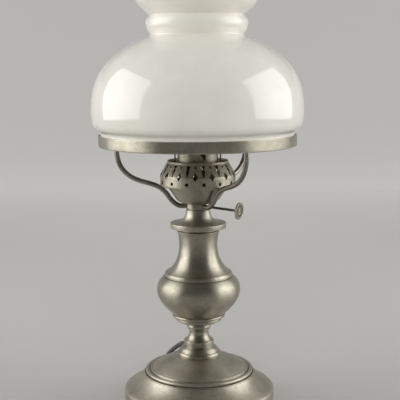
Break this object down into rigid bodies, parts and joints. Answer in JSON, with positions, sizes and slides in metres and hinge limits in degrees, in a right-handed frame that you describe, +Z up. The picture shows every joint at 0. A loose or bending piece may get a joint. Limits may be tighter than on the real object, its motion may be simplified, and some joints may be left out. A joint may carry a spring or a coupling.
{
  "type": "electrified oil lamp",
  "caption": "Table lamp shaped like an oil lamp: turned metal base and vase, pierced burner gallery, winder knob switch, wire arms, shade ring and opal glass shade.",
  "frame": {"origin": "centre of the felt's underside, where the lamp's axis meets the table", "axes": "+Z up along the stem, -Y toward the viewer of the picture, +X to the viewer's right, where the winder knob stands"},
  "size_m": [0.204, 0.2522, 0.4169],
  "materials": {
    "pewter": "satin, warm grey, worn",
    "dark_pewter": "satin",
    "opal_glass": "polished, opaque white",
    "steel": "zinc plated",
    "cast_iron": "raw",
    "brass": "satin",
    "felt": "felt",
    "porcelain": "glazed",
    "phenolic": "moulded",
    "bulb_glass": "frosted",
    "lamp_cord": "smooth"
  },
  "bodies": {
    "lamp": {"base_shell": "pewter", "stem_foot": "pewter", "stem_neck": "pewter", "vase_bowl": "pewter", "vase_neck": "pewter", "vase_cap": "pewter", "arm_collar": "pewter", "burner_funnel": "pewter", "gallery": "pewter", "crown_sleeve": "pewter", "arm_left": "pewter", "arm_front_right": "pewter", "arm_back_right": "pewter", "shade_ring": "pewter", "sleeve_clip_right": "dark_pewter", "sleeve_clip_left": "dark_pewter", "base_washer": "steel", "base_nut": "steel", "base_spacer": "steel", "stem_tube": "steel", "cap_nut": "steel", "holder_nipple": "steel", "nipple_nut": "steel", "base_ballast": "cast_iron", "screw_shell": "brass", "tip_spring": "brass", "terminal_screw_live": "brass", "terminal_screw_neutral": "brass", "plug_pin_left": "brass", "plug_pin_right": "brass", "base_felt": "felt", "holder_core": "porcelain", "switch_body": "phenolic", "holder_base": "phenolic", "cord_bushing": "phenolic", "coil_tie": "phenolic", "plug_body": "phenolic", "lead_lower": "lamp_cord", "lead_upper": "lamp_cord", "cord_lead": "lamp_cord", "cord_coil": "lamp_cord", "cord_tail": "lamp_cord"},
    "shade": {"opal_shade": "opal_glass"},
    "winder": {"winder_knob": "pewter", "winder_shaft": "steel", "switch_rotor": "brass"},
    "bulb_rise": {"bulb_tip": "brass"},
    "bulb": {"bulb_glass": "bulb_glass", "bulb_cap": "steel"}
  },
  "joints": [
    {"name": "shade_lift", "type": "slide", "parent": "lamp", "child": "shade", "axis": [0, 0, 1], "range_m": [0, 0.12]},
    {"name": "winder_turn", "type": "hinge", "parent": "lamp", "child": "winder", "pos_m": [0, 0, 0.2025], "axis": [0.865, -0.4994, -0.0489], "continuous": true},
    {"name": "bulb_rise", "type": "slide", "parent": "lamp", "child": "bulb_rise", "axis": [0, 0, 1], "range_m": [0, 0.0181]},
    {"name": "bulb_turn", "type": "hinge", "parent": "bulb_rise", "child": "bulb", "pos_m": [0, 0, 0.26], "axis": [0, 0, 1], "range_deg": [0, 1800]}
  ],
  "couplings": [
    {"joint": "bulb_rise", "follows": "bulb_turn", "m_per_rad": 0.000576}
  ]
}
